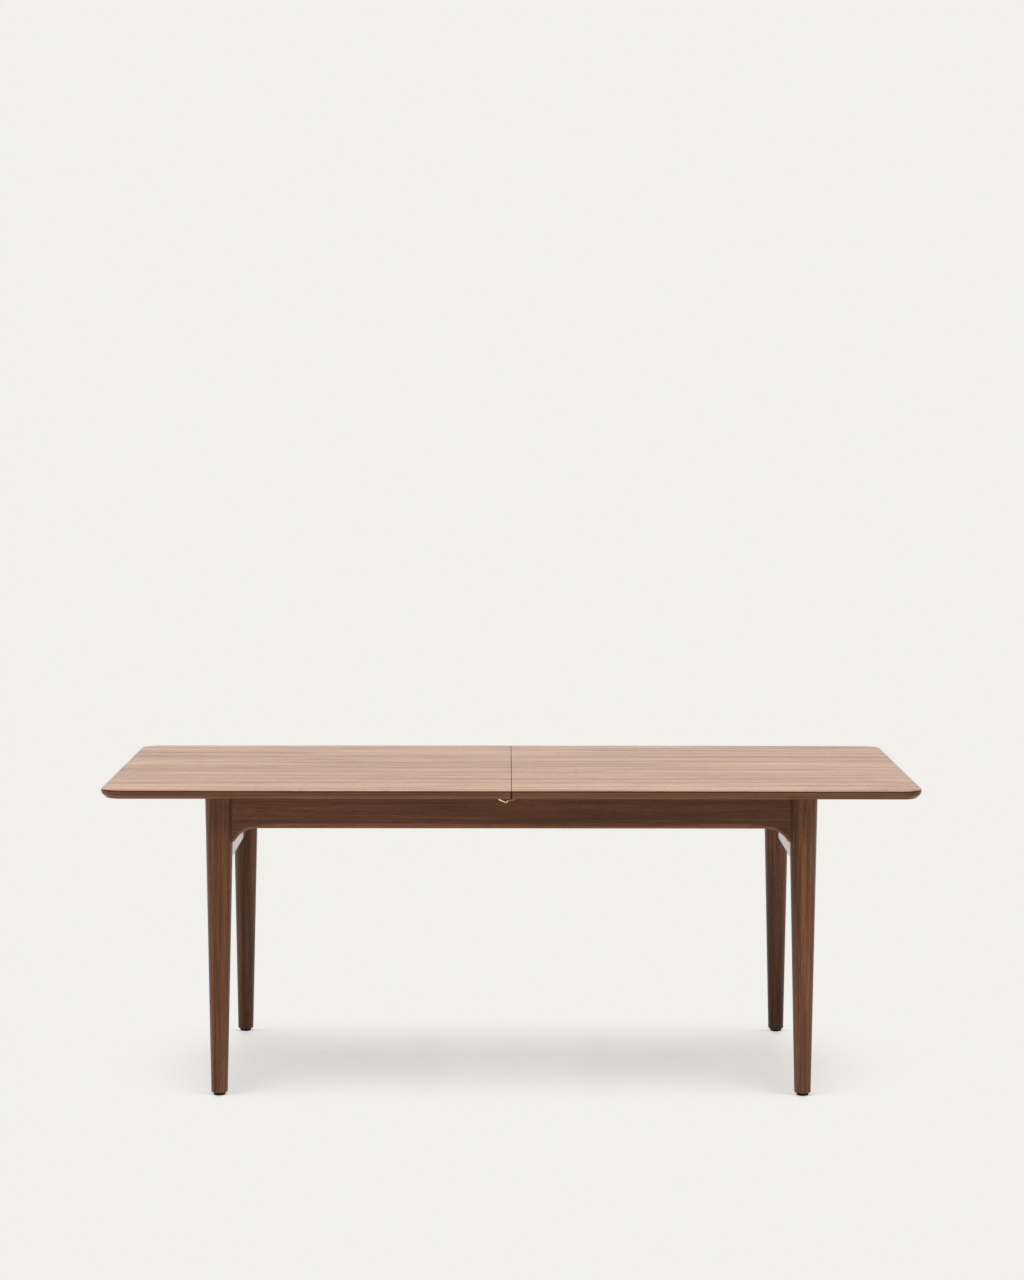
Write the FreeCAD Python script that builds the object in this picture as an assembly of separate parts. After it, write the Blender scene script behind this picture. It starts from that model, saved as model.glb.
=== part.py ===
import FreeCAD, Part
import math
import os

os.makedirs("parts", exist_ok=True)

# Extending table, closed. Millimetres, +Z up, the long way along X, the front at -Y.

# whole table
table_length = 2000.0
table_width = 900.0
table_height = 760.0

# top halves
top_thickness = 22.0
seam_gap = 0.2
seam_arris = 0.6
top_corner_radius = 50.0
top_arris = 2.0
edge_band = 11.0
bevel_width = 12.0
bevel_rounding = 10.0

# legs and glides
leg_from_end = 284.0
leg_from_side = 88.5
leg_top_radius = 35.0
leg_foot_radius = 20.3
leg_foot_rounding = 2.0
glide_radius = 15.0
glide_height = 7.0
glide_rounding = 1.5
glide_stem_radius = 4.0
glide_stem_length = 20.0

# gap between the fixed frame and the sliding tops
running_gap = 2.0
strip_thickness = 1.7
strip_width = 14.0
strip_from_leg = 72.5

# aprons, with a concave bracket at each end
apron_height = 79.5
apron_thickness = 24.0
apron_face_out = 16.0
apron_arris = 8.0
bracket_radius = 60.0
bracket_drop = 34.0
bracket_reach = 91.5
bracket_tip_rounding = 10.0
apron_tenon_thickness = 12.0
apron_tenon_height = 44.0
apron_tenon_below_top = 8.0
apron_tenon_off_axis = 6.0

# end rails
end_rail_thickness = 24.0
end_rail_height = 134.0
end_rail_below_top = 54.0
end_rail_arris = 3.0
end_tenon_thickness = 12.0
end_tenon_height = 70.0
end_tenon_above_bottom = 20.0
end_tenon_off_axis = 10.0

# cross rails
cross_rail_share = 0.32
cross_rail_width = 60.0
cross_rail_height = 24.0
cross_tenon_width = 40.0
cross_tenon_height = 12.0
cross_tenon_length = 12.0

# corner blocks, studs and nuts
block_length = 90.0
block_height = 24.0
block_leg_clearance = 1.0
stud_radius = 4.0
stud_start = 4.0
stud_past_nut = 6.0
stud_clearance = 0.5
stud_below_rail_top = 12.0
nut_flange_radius = 9.0
nut_flange_height = 2.0
nut_radius = 7.5
nut_height = 7.0

# bearers
bearer_thickness = 20.0
bearer_height = 46.0
bearer_leg_clearance = 0.8

# ball runners
runner_width = 12.7
channel_height = 45.0
runner_gauge = 1.5
channel_from_seam = 60.0
channel_from_leg = 31.5
channel_to_batten = 0.5
slide_from_seam = 40.0
slide_from_leg = 52.5
slide_flange = 8.7
ball_radius = 2.2
ball_clearance = 0.1
ball_from_batten = 6.2
ball_count = 3
ball_from_cage_end = 20.0
cage_gauge = 0.8
cage_to_channel = 1.1
cage_strip_width = 6.9
cage_hole_clearance = 0.15
stop_half_height = 8.0
slide_stop_reach = 1.8
channel_stop_reach = 2.2
stop_clearance = 1.0

# battens
batten_thickness = 20.0
batten_height = 48.0
batten_from_seam = 20.0
batten_from_leg = 52.5

# extension leaf and its guides
guide_base_width = 39.0
guide_base_height = 6.0
guide_lip_width = 8.0
guide_lip_height = 4.5
guide_clearance = 1.0
guide_to_batten = 4.0
travel_spare = 5.0

# dowels
dowel_radius = 5.0
dowel_half_length = 20.0
dowel_tip = 1.5
socket_clearance = 0.3
socket_extra_depth = 1.0
dowel_shares = (-0.73, -0.33, 0.33, 0.73)

# countersunk wood screws
screw_radius = 1.75
screw_head_radius = 3.5
screw_head_height = 1.4
screw_length = 16.0
channel_screw_inset = 70.0
slide_screw_inset = 60.0

# long screws up through the battens
batten_screw_radius = 2.25
batten_screw_head_radius = 4.5
batten_screw_head_height = 3.0
batten_screw_length = 34.0
batten_screw_inset = 45.0
batten_screw_into_top = 15.0

# latch
latch_from_edge = 36.0
latch_width = 8.0
latch_gauge = 1.5
latch_plate_width = 20.0
latch_plate_left = -60.0
latch_plate_right = -29.8
latch_strip_gauge = 2.2
latch_strip_drop = 3.4
latch_strip_end_x = -13.6
latch_strip_end_drop = 11.6
latch_pivot_x = -10.2
latch_pivot_drop = 8.6
latch_lug_half = 1.2
latch_eye_radius = 2.1
latch_pin_radius = 0.9
latch_pin_clearance = 0.05
latch_pin_head_radius = 1.6
latch_pin_head_height = 0.8
latch_side_gap = 0.4
hook_arm_gauge = 1.5
hook_arm_end_gauge = 0.9
hook_arm_start_x = -7.4
hook_arm_start_drop = 6.9
hook_arm_end_x = 9.2
hook_arm_end_drop = 4.5
hook_lip_length = 2.5
hook_lip_below_top = 0.7
latch_screw_spread = 5.0
latch_screw_length = 11.0
latch_screw_x = -48.0

# keeper of the latch
keeper_left = 1.5
keeper_right = 30.0
keeper_gauge = 1.5
slot_left = 5.0
slot_right = 15.0
slot_side_clearance = 1.5
pocket_depth = 6.0
keeper_screw_x = 22.5

# how far a cut runs past a face, and how closely an edge is matched when it is picked
cut_overrun = 5.0
match_tolerance = 0.05

# levels and faces that follow from these
half_length = table_length / 2
half_width = table_width / 2
half_seam = seam_gap / 2
underside = table_height - top_thickness
frame_top = underside - running_gap
leg_axis_x = half_length - leg_from_end
leg_axis_y = half_width - leg_from_side
apron_bottom = frame_top - apron_height
apron_outer = leg_axis_y + apron_face_out
apron_inner = apron_outer - apron_thickness
bracket_start_x = leg_axis_x - bracket_reach
strip_half_length = leg_axis_x - strip_from_leg
cross_rail_x = leg_axis_x * cross_rail_share
end_rail_top = underside - end_rail_below_top
end_rail_bottom = end_rail_top - end_rail_height
end_rail_inner = leg_axis_x - end_rail_thickness / 2
end_rail_outer = leg_axis_x + end_rail_thickness / 2
bearer_outer = leg_axis_y - leg_top_radius - bearer_leg_clearance
bearer_inner = bearer_outer - bearer_thickness
batten_outer = bearer_inner - runner_width
batten_inner = batten_outer - batten_thickness
batten_bottom = underside - batten_height
runner_level = end_rail_top + bearer_height / 2
dowel_level = top_thickness / 2
dowel_places = [half_width * share for share in dowel_shares]

# the leaf fills the room between the battens, and its width sets how far the tops open
lip_outer = batten_inner - guide_to_batten
lip_inner = lip_outer - guide_lip_width
leaf_bottom = end_rail_top + guide_base_height
leaf_shift = dowel_half_length / 2
leaf_far = lip_inner - guide_clearance
leaf_half = leaf_far - leaf_shift
leaf_near = leaf_shift - leaf_half
leaf_width = 2 * leaf_half
top_travel = leaf_half + dowel_half_length + travel_spare

# the cage rolls half as far as the top, and ends up between the two stops
channel_start = channel_from_seam
channel_end = leg_axis_x - channel_from_leg
slide_start = slide_from_seam
slide_end = leg_axis_x - slide_from_leg
batten_start = batten_from_seam
batten_end = leg_axis_x - batten_from_leg
cage_start = slide_start + runner_gauge + stop_clearance + top_travel / 2
cage_end = channel_end - runner_gauge - stop_clearance - top_travel / 2
ball_step = (cage_end - cage_start - 2 * ball_from_cage_end) / (ball_count - 1)
ball_row = [cage_start + ball_from_cage_end + ball_step * n for n in range(ball_count)]
channel_screw_x = (channel_start + channel_screw_inset, channel_end - channel_screw_inset)
slide_screw_x = (slide_start + slide_screw_inset, slide_end - slide_screw_inset)
batten_screw_x = (batten_start + batten_screw_inset, batten_end - batten_screw_inset)

# the latch hangs from the underside, a little in from the front edge
latch_y = latch_from_edge - half_width
latch_pivot_z = underside - latch_pivot_drop
latch_strip_z = underside - latch_strip_drop
latch_strip_end_z = underside - latch_strip_end_drop
hook_arm_start_z = underside - hook_arm_start_drop
hook_arm_end_z = underside - hook_arm_end_drop

along_x = FreeCAD.Vector(1, 0, 0)
along_y = FreeCAD.Vector(0, 1, 0)
along_z = FreeCAD.Vector(0, 0, 1)
origin = FreeCAD.Vector(0, 0, 0)


def point(x, y, z):
    return FreeCAD.Vector(x, y, z)


def box(x0, x1, y0, y1, z0, z1):
    return Part.makeBox(x1 - x0, y1 - y0, z1 - z0, point(x0, y0, z0))


def rod(radius, length, start, direction):
    return Part.makeCylinder(radius, length, start, direction)


def prism(corners, direction):
    return Part.Face(Part.makePolygon(corners + [corners[0]])).extrude(direction)


def placed(shape, side_x, side_y):
    if side_x < 0:
        shape = shape.mirror(origin, along_x)
    if side_y < 0:
        shape = shape.mirror(origin, along_y)
    return shape


def edges_where(shape, test):
    return [edge for edge in shape.Edges if test(edge.BoundBox)]


def save(node, *shapes):
    solids = [solid for shape in shapes for solid in shape.Solids]
    result = solids[0] if len(solids) == 1 else Part.makeCompound(solids)
    result.exportStep("parts/" + node + ".step")


def near(a, b):
    return abs(a - b) < match_tolerance


# A countersunk screw whose head is flush at start; it points along direction.
def wood_screw(start, direction, length):
    head = Part.makeCone(screw_head_radius, screw_radius, screw_head_height, start, direction)
    return head.fuse(rod(screw_radius, length, start, direction)).removeSplitter()


# A dowel with a short cone at its far end, half of it in the piece that it is glued in.
def dowel(start, direction):
    body = rod(dowel_radius, 2 * dowel_half_length - dowel_tip, start, direction)
    tip_start = start + direction * (2 * dowel_half_length - dowel_tip)
    tip = Part.makeCone(dowel_radius, dowel_radius - dowel_tip, dowel_tip, tip_start, direction)
    return body.fuse(tip).removeSplitter()


sides_x = {"left": -1, "right": 1}
sides_y = {"front": -1, "rear": 1}


# legs: a plain cone on each leg axis, used to cope what meets it
def leg_cone(extra):
    return Part.makeCone(
        leg_foot_radius + extra,
        leg_top_radius + extra,
        frame_top - glide_height,
        point(leg_axis_x, leg_axis_y, glide_height),
        along_z,
    )


plain_leg = leg_cone(0)
four_legs = [placed(plain_leg, sx, sy) for sx in sides_x.values() for sy in sides_y.values()]

# rear apron: outline in XZ, then thickness, rounded tips, arris, coped ends and tenons
bracket_centre_z = apron_bottom - bracket_radius
tip_rise = bracket_radius - bracket_drop
tip_reach = math.sqrt(bracket_radius ** 2 - tip_rise ** 2)
tip_angle = math.atan2(tip_rise, tip_reach)
middle_angle = (tip_angle + math.pi / 2) / 2
tip_x = bracket_start_x + tip_reach
tip_z = apron_bottom - bracket_drop
middle_x = bracket_start_x + bracket_radius * math.cos(middle_angle)
middle_z = bracket_centre_z + bracket_radius * math.sin(middle_angle)


def bracket(side):
    return Part.Arc(
        point(side * bracket_start_x, apron_inner, apron_bottom),
        point(side * middle_x, apron_inner, middle_z),
        point(side * tip_x, apron_inner, tip_z),
    ).toShape()


apron_corners = [
    point(tip_x, apron_inner, tip_z),
    point(leg_axis_x, apron_inner, tip_z),
    point(leg_axis_x, apron_inner, frame_top),
    point(-leg_axis_x, apron_inner, frame_top),
    point(-leg_axis_x, apron_inner, tip_z),
    point(-tip_x, apron_inner, tip_z),
]
apron_edges = list(Part.makePolygon(apron_corners).Edges)
lower_line = Part.makeLine(
    point(-bracket_start_x, apron_inner, apron_bottom),
    point(bracket_start_x, apron_inner, apron_bottom),
)
apron_edges += [bracket(1), bracket(-1), lower_line]
apron_wire = Part.Wire(Part.__sortEdges__(apron_edges))
rear_apron = Part.Face(apron_wire).extrude(along_y * apron_thickness)
tip_edges = edges_where(
    rear_apron,
    lambda b: near(b.YLength, apron_thickness) and near(b.ZMax, tip_z) and near(abs(b.XMax), tip_x),
)
rear_apron = rear_apron.makeFillet(bracket_tip_rounding, tip_edges)
lower_edges = edges_where(
    rear_apron,
    lambda b: near(b.YMin, apron_outer) and near(b.YMax, apron_outer) and b.ZMax < frame_top - apron_arris,
)
rear_apron = rear_apron.makeFillet(apron_arris, lower_edges)
for leg in four_legs:
    rear_apron = rear_apron.cut(leg)
apron_middle = (apron_outer + apron_inner) / 2
tenon_top = frame_top - apron_tenon_below_top
apron_tenon = box(
    bracket_start_x,
    leg_axis_x - apron_tenon_off_axis,
    apron_middle - apron_tenon_thickness / 2,
    apron_middle + apron_tenon_thickness / 2,
    tenon_top - apron_tenon_height,
    tenon_top,
)
rear_apron = rear_apron.fuse([apron_tenon, placed(apron_tenon, -1, 1)]).removeSplitter()

# cross rails, each with a stub tenon in both aprons
cross_top = end_rail_top
cross_bottom = cross_top - cross_rail_height
cross_middle = (cross_top + cross_bottom) / 2
cross_rail = box(
    cross_rail_x - cross_rail_width / 2,
    cross_rail_x + cross_rail_width / 2,
    -apron_inner,
    apron_inner,
    cross_bottom,
    cross_top,
)
cross_tenons = box(
    cross_rail_x - cross_tenon_width / 2,
    cross_rail_x + cross_tenon_width / 2,
    -apron_inner - cross_tenon_length,
    apron_inner + cross_tenon_length,
    cross_middle - cross_tenon_height / 2,
    cross_middle + cross_tenon_height / 2,
)
cross_rail = cross_rail.fuse(cross_tenons).removeSplitter()
rear_apron = rear_apron.cut(cross_rail).cut(placed(cross_rail, -1, 1))
for name, side in sides_x.items():
    save(name + "_cross_rail", placed(cross_rail, side, 1))
for name, side in sides_y.items():
    save(name + "_apron", placed(rear_apron, 1, side))

# end rails, coped to the legs and tenoned into them
end_rail = box(end_rail_inner, end_rail_outer, -leg_axis_y, leg_axis_y, end_rail_bottom, end_rail_top)
end_arris_edges = edges_where(
    end_rail,
    lambda b: near(b.ZMax, end_rail_bottom) and b.YLength > leg_axis_y,
)
end_rail = end_rail.makeFillet(end_rail_arris, end_arris_edges)
for leg in four_legs:
    end_rail = end_rail.cut(leg)
end_tenon_bottom = end_rail_bottom + end_tenon_above_bottom
end_tenons = box(
    leg_axis_x - end_tenon_thickness / 2,
    leg_axis_x + end_tenon_thickness / 2,
    -leg_axis_y + end_tenon_off_axis,
    leg_axis_y - end_tenon_off_axis,
    end_tenon_bottom,
    end_tenon_bottom + end_tenon_height,
)
end_rail = end_rail.fuse(end_tenons).removeSplitter()
for name, side in sides_x.items():
    save(name + "_end_rail", placed(end_rail, side, 1))

# corner blocks with a stud from the leg through the block to a flanged nut
inward = FreeCAD.Vector(-1, -1, 0).normalize()
stud_level = end_rail_top - stud_below_rail_top
leg_centre = point(leg_axis_x, leg_axis_y, stud_level)
block_face = (leg_axis_x + leg_axis_y - end_rail_inner - apron_inner + block_length) / math.sqrt(2)
stud_length = block_face + nut_flange_height + nut_height + stud_past_nut - stud_start
stud = rod(stud_radius, stud_length, leg_centre + inward * stud_start, inward)
stud_hole = rod(stud_radius + stud_clearance, stud_length, leg_centre + inward * stud_start, inward)
block_base = end_rail_top - block_height
corner_block = prism(
    [
        point(end_rail_inner, apron_inner, block_base),
        point(end_rail_inner - block_length, apron_inner, block_base),
        point(end_rail_inner, apron_inner - block_length, block_base),
    ],
    along_z * block_height,
)
corner_block = corner_block.cut(leg_cone(block_leg_clearance)).cut(stud_hole)
nut_start = leg_centre + inward * block_face
nut = rod(nut_flange_radius, nut_flange_height, nut_start, inward)
hex_start = nut_start + inward * nut_flange_height
hex_corners = []
for turn in range(6):
    spread = FreeCAD.Rotation(inward, 60 * turn).multVec(along_z)
    hex_corners.append(hex_start + spread * nut_radius)
nut = nut.fuse(prism(hex_corners, inward * nut_height)).removeSplitter().cut(stud)
studs = []
nuts = []

# finished leg: mortises, stud hole and the bore for the glide's stem
glide = rod(glide_radius, glide_height, point(leg_axis_x, leg_axis_y, 0), along_z)
glide = glide.makeFillet(glide_rounding, edges_where(glide, lambda b: near(b.ZMax, 0)))
stem = rod(glide_stem_radius, glide_stem_length, point(leg_axis_x, leg_axis_y, glide_height), along_z)
glide = glide.fuse(stem).removeSplitter()
foot_edge = edges_where(plain_leg, lambda b: near(b.ZMax, glide_height))
leg = plain_leg.makeFillet(leg_foot_rounding, foot_edge)
for other in (rear_apron, end_rail, stud, glide):
    leg = leg.cut(other)
for name_y, side_y in sides_y.items():
    for name_x, side_x in sides_x.items():
        place = "_" + name_y + "_" + name_x
        save("leg" + place, placed(leg, side_x, side_y))
        save("foot_glide" + place, placed(glide, side_x, side_y))
        save("corner_block" + place, placed(corner_block, side_x, side_y))
        studs.append(placed(stud, side_x, side_y))
        nuts.append(placed(nut, side_x, side_y))
save("corner_studs", *studs)
save("corner_nuts", *nuts)

# strips on the aprons that the tops glide on
strip = box(
    -strip_half_length,
    strip_half_length,
    apron_middle - strip_width / 2,
    apron_middle + strip_width / 2,
    frame_top,
    frame_top + strip_thickness,
)
for name, side in sides_y.items():
    save("glide_strip_" + name, placed(strip, 1, side))

# one ball runner, right and rear: channel, slide, cage and balls
channel_low = runner_level - channel_height / 2
channel_high = runner_level + channel_height / 2
channel_lip = batten_outer + channel_to_batten
channel = box(channel_start, channel_end, channel_lip, bearer_inner, channel_low, channel_high).cut(
    box(
        channel_start - cut_overrun,
        channel_end + cut_overrun,
        channel_lip - cut_overrun,
        bearer_inner - runner_gauge,
        channel_low + runner_gauge,
        channel_high - runner_gauge,
    )
)
channel_stop = box(
    channel_end - runner_gauge,
    channel_end,
    bearer_inner - runner_gauge - channel_stop_reach,
    bearer_inner - runner_gauge,
    runner_level - stop_half_height,
    runner_level + stop_half_height,
)
channel = channel.fuse(channel_stop).removeSplitter()
ball_space = 2 * (ball_radius + ball_clearance)
slide_half = channel_height / 2 - runner_gauge - ball_space
slide_far = batten_outer + slide_flange
slide = box(
    slide_start, slide_end, batten_outer, slide_far, runner_level - slide_half, runner_level + slide_half
).cut(
    box(
        slide_start - cut_overrun,
        slide_end + cut_overrun,
        batten_outer + runner_gauge,
        slide_far + cut_overrun,
        runner_level - slide_half + runner_gauge,
        runner_level + slide_half - runner_gauge,
    )
)
slide_stop = box(
    slide_start,
    slide_start + runner_gauge,
    batten_outer,
    slide_far + slide_stop_reach,
    runner_level - slide_half,
    runner_level + slide_half,
)
slide = slide.fuse(slide_stop).removeSplitter()
cage_back = bearer_inner - runner_gauge - cage_to_channel
ball_offset = slide_half + ball_space / 2
ball_y = batten_outer + ball_from_batten
cage = box(
    cage_start,
    cage_end,
    cage_back - cage_gauge,
    cage_back,
    runner_level - ball_offset,
    runner_level + ball_offset,
)
balls = []
hole_radius = ball_radius + cage_hole_clearance
for side in (-1, 1):
    level = runner_level + side * ball_offset
    cage = cage.fuse(
        box(
            cage_start,
            cage_end,
            cage_back - cage_strip_width,
            cage_back,
            level - cage_gauge / 2,
            level + cage_gauge / 2,
        )
    )
    for ball_x in ball_row:
        hole_start = point(ball_x, ball_y, level - cage_gauge)
        cage = cage.cut(rod(hole_radius, 2 * cage_gauge, hole_start, along_z))
        balls.append(Part.makeSphere(ball_radius, point(ball_x, ball_y, level)))
cage = cage.removeSplitter()

# screws of the runner and of the batten
web_face = bearer_inner - runner_gauge
slide_face = batten_outer + runner_gauge
channel_screws = []
slide_screws = []
for x in channel_screw_x:
    channel_screws.append(wood_screw(point(x, web_face, runner_level), along_y, screw_length))
for x in slide_screw_x:
    slide_screws.append(wood_screw(point(x, slide_face, runner_level), -along_y, screw_length))
batten_middle = (batten_outer + batten_inner) / 2
batten_screw_start = underside + batten_screw_into_top - batten_screw_length
batten_screws = []
for x in batten_screw_x:
    start = point(x, batten_middle, batten_screw_start)
    head = rod(batten_screw_head_radius, batten_screw_head_height, start, along_z)
    batten_screws.append(head.fuse(rod(batten_screw_radius, batten_screw_length, start, along_z)))
batten = box(batten_start, batten_end, batten_inner, batten_outer, batten_bottom, underside)
for x in batten_screw_x:
    bore_start = point(x, batten_middle, batten_bottom - cut_overrun)
    bore_length = batten_screw_start + batten_screw_head_height - batten_bottom + cut_overrun
    batten = batten.cut(rod(batten_screw_head_radius, bore_length, bore_start, along_z))
for screw in batten_screws + slide_screws:
    batten = batten.cut(screw)
for screw in slide_screws:
    slide = slide.cut(screw)
for screw in channel_screws:
    channel = channel.cut(screw)

bearer = box(
    -end_rail_outer, end_rail_outer, bearer_inner, bearer_outer, end_rail_top, end_rail_top + bearer_height
)
for screw in channel_screws:
    bearer = bearer.cut(screw).cut(placed(screw, -1, 1))
for name, side in sides_y.items():
    save(name + "_bearer", placed(bearer, 1, side))

all_channel_screws = []
for name_x, side_x in sides_x.items():
    side_cages = []
    side_balls = []
    side_slide_screws = []
    side_batten_screws = []
    for name_y, side_y in sides_y.items():
        place = "_" + name_x + "_" + name_y
        save("runner_channel" + place, placed(channel, side_x, side_y))
        save("runner_slide" + place, placed(slide, side_x, side_y))
        save("batten" + place, placed(batten, side_x, side_y))
        side_cages.append(placed(cage, side_x, side_y))
        side_balls += [placed(ball, side_x, side_y) for ball in balls]
        side_slide_screws += [placed(screw, side_x, side_y) for screw in slide_screws]
        side_batten_screws += [placed(screw, side_x, side_y) for screw in batten_screws]
        all_channel_screws += [placed(screw, side_x, side_y) for screw in channel_screws]
    save("ball_cages_" + name_x, *side_cages)
    save("bearing_balls_" + name_x, *side_balls)
    save("slide_screws_" + name_x, *side_slide_screws)
    save("batten_screws_" + name_x, *side_batten_screws)
save("channel_screws", *all_channel_screws)

# latch bracket: a plate let in flush under the left top and a sloping strip to the eye
latch_front = latch_y - latch_width / 2
latch_back = latch_y + latch_width / 2
plate_front = latch_y - latch_plate_width / 2
plate_back = latch_y + latch_plate_width / 2
plate_top = underside + latch_gauge
eye_split_front = latch_y - latch_side_gap / 2
eye_split_back = latch_y + latch_side_gap / 2
pin_axis = point(latch_pivot_x, latch_front, latch_pivot_z)
latch_plate = box(latch_plate_left, latch_plate_right, plate_front, plate_back, underside, plate_top)
strip_slope = math.atan2(latch_strip_end_drop - latch_strip_drop, latch_strip_end_x - latch_plate_right)
strip_half = point(math.sin(strip_slope), 0, math.cos(strip_slope)) * (latch_strip_gauge / 2)
strip_root = latch_plate_right - latch_strip_gauge
strip_end = point(latch_strip_end_x, latch_front, latch_strip_end_z)
lug_line = (pin_axis - strip_end).normalize()
lug_half = point(lug_line.z, 0, -lug_line.x) * latch_lug_half
slope_strip = prism(
    [
        point(strip_root, latch_front, plate_top),
        point(strip_root, latch_front, latch_strip_z - latch_strip_gauge / 2),
        strip_end - strip_half,
        strip_end + strip_half,
        point(latch_plate_right, latch_front, latch_strip_z + latch_strip_gauge / 2),
        point(latch_plate_right, latch_front, plate_top),
    ],
    along_y * (eye_split_front - latch_front),
)
strip_lug = prism(
    [strip_end - strip_half, pin_axis + lug_half, pin_axis - lug_half, strip_end + strip_half],
    along_y * (eye_split_front - latch_front),
)
bracket_eye = rod(latch_eye_radius, eye_split_front - latch_front, pin_axis, along_y)
pin_hole = rod(latch_pin_radius, latch_width, pin_axis, along_y)
latch_bracket = latch_plate.fuse([slope_strip, strip_lug, bracket_eye]).removeSplitter().cut(pin_hole)
latch_screws = []
for side in (-1, 1):
    start = point(latch_screw_x, latch_y + side * latch_screw_spread, underside)
    latch_screws.append(wood_screw(start, along_z, latch_screw_length))
for screw in latch_screws:
    latch_bracket = latch_bracket.cut(screw)

# hook: an eye, an arm that rises to the right, and an upturned lip
hook_eye_start = point(latch_pivot_x, eye_split_back, latch_pivot_z)
hook_eye = rod(latch_eye_radius, latch_back - eye_split_back, hook_eye_start, along_y)
hook_hole = rod(latch_pin_radius + latch_pin_clearance, latch_width, pin_axis, along_y)
lip_top = underside - hook_lip_below_top
hook_arm = prism(
    [
        point(hook_arm_start_x, latch_front, hook_arm_start_z - hook_arm_gauge / 2),
        point(hook_arm_end_x, latch_front, hook_arm_end_z - hook_arm_end_gauge / 2),
        point(hook_arm_end_x, latch_front, lip_top),
        point(hook_arm_end_x - hook_lip_length, latch_front, lip_top),
        point(hook_arm_end_x - hook_lip_length, latch_front, hook_arm_end_z + hook_arm_end_gauge / 2),
        point(hook_arm_start_x, latch_front, hook_arm_start_z + hook_arm_gauge / 2),
    ],
    along_y * latch_width,
)
hook_neck = prism(
    [
        point(latch_pivot_x, eye_split_back, latch_pivot_z - hook_arm_gauge / 2),
        point(hook_arm_start_x, eye_split_back, hook_arm_start_z - hook_arm_gauge / 2),
        point(hook_arm_start_x, eye_split_back, hook_arm_start_z + hook_arm_gauge / 2),
        point(latch_pivot_x, eye_split_back, latch_pivot_z + hook_arm_gauge / 2),
    ],
    along_y * (latch_back - eye_split_back),
)
latch_hook = hook_arm.fuse([hook_eye, hook_neck]).removeSplitter().cut(hook_hole)
latch_pin = rod(latch_pin_radius, latch_width, pin_axis, along_y)
for start in (pin_axis - along_y * latch_pin_head_height, pin_axis + along_y * latch_width):
    latch_pin = latch_pin.fuse(rod(latch_pin_head_radius, latch_pin_head_height, start, along_y))
save("latch_bracket", latch_bracket)
save("latch_screws", *latch_screws)
save("latch_hook", latch_hook)
save("latch_pin", latch_pin.removeSplitter())

# keeper plate, let in flush under the right top, with a slot for the lip
slot_front = latch_front - slot_side_clearance
slot_back = latch_back + slot_side_clearance
keeper_blank = box(keeper_left, keeper_right, plate_front, plate_back, underside, underside + keeper_gauge)
keeper_pocket = box(slot_left, slot_right, slot_front, slot_back, underside, underside + pocket_depth)
keeper_screws = []
for side in (-1, 1):
    start = point(keeper_screw_x, latch_y + side * latch_screw_spread, underside)
    keeper_screws.append(wood_screw(start, along_z, latch_screw_length))
latch_keeper = keeper_blank.cut(keeper_pocket)
for screw in keeper_screws:
    latch_keeper = latch_keeper.cut(screw)
save("latch_keeper", latch_keeper)
save("keeper_screws", *keeper_screws)


# Edge of a top: underside, bevel, rounding, upright band and arris. It is drawn in XZ through y,
# from the middle of the corner's rounding out to the end of the table.
corner_x = half_length - top_corner_radius
corner_y = half_width - top_corner_radius
band_bottom = table_height - edge_band
arris_mid = top_arris - top_arris * math.cos(math.pi / 4)
bevel_turn = math.atan2(bevel_width, top_thickness - edge_band)
rounding_run = bevel_rounding * math.tan(bevel_turn / 2)
rounding_x = half_length - bevel_rounding
rounding_z = band_bottom + rounding_run


def edge_profile(y):
    lower = [
        point(half_length - top_arris, y, table_height),
        point(corner_x, y, table_height),
        point(corner_x, y, underside),
        point(half_length - bevel_width, y, underside),
        point(
            rounding_x + bevel_rounding * math.cos(bevel_turn),
            y,
            rounding_z - bevel_rounding * math.sin(bevel_turn),
        ),
    ]
    band = [
        point(half_length, y, rounding_z),
        point(half_length, y, table_height - top_arris),
    ]
    rounding = Part.Arc(
        lower[-1],
        point(
            rounding_x + bevel_rounding * math.cos(bevel_turn / 2),
            y,
            rounding_z - bevel_rounding * math.sin(bevel_turn / 2),
        ),
        band[0],
    ).toShape()
    arris = Part.Arc(
        band[-1],
        point(half_length - arris_mid, y, table_height - arris_mid),
        lower[0],
    ).toShape()
    edges = list(Part.makePolygon(lower).Edges) + [rounding] + list(Part.makePolygon(band).Edges) + [arris]
    return Part.Face(Part.Wire(edges))


# rear half of the right top: end strip, turned corner, long strip and the flat middle
end_strip = edge_profile(0).extrude(along_y * corner_y)
corner_profile = edge_profile(corner_y)
corner_turn = corner_profile.revolve(point(corner_x, corner_y, 0), along_z, 90)
long_profile = corner_profile.copy()
long_profile.rotate(point(corner_x, corner_y, 0), along_z, 90)
long_strip = long_profile.extrude(along_x * (half_seam - corner_x))
flat_middle = box(half_seam, corner_x, 0, corner_y, underside, table_height)
rear_half = flat_middle.fuse([end_strip, corner_turn, long_strip]).removeSplitter()
plain_top = rear_half.fuse(placed(rear_half, 1, -1)).removeSplitter()
seam_cut = prism(
    [
        point(half_seam, -half_width, table_height),
        point(half_seam + seam_arris, -half_width, table_height),
        point(half_seam, -half_width, table_height - seam_arris),
    ],
    along_y * table_width,
)
plain_top = plain_top.cut(seam_cut)
for side_y in sides_y.values():
    for screw in batten_screws:
        plain_top = plain_top.cut(placed(screw, 1, side_y))

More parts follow.
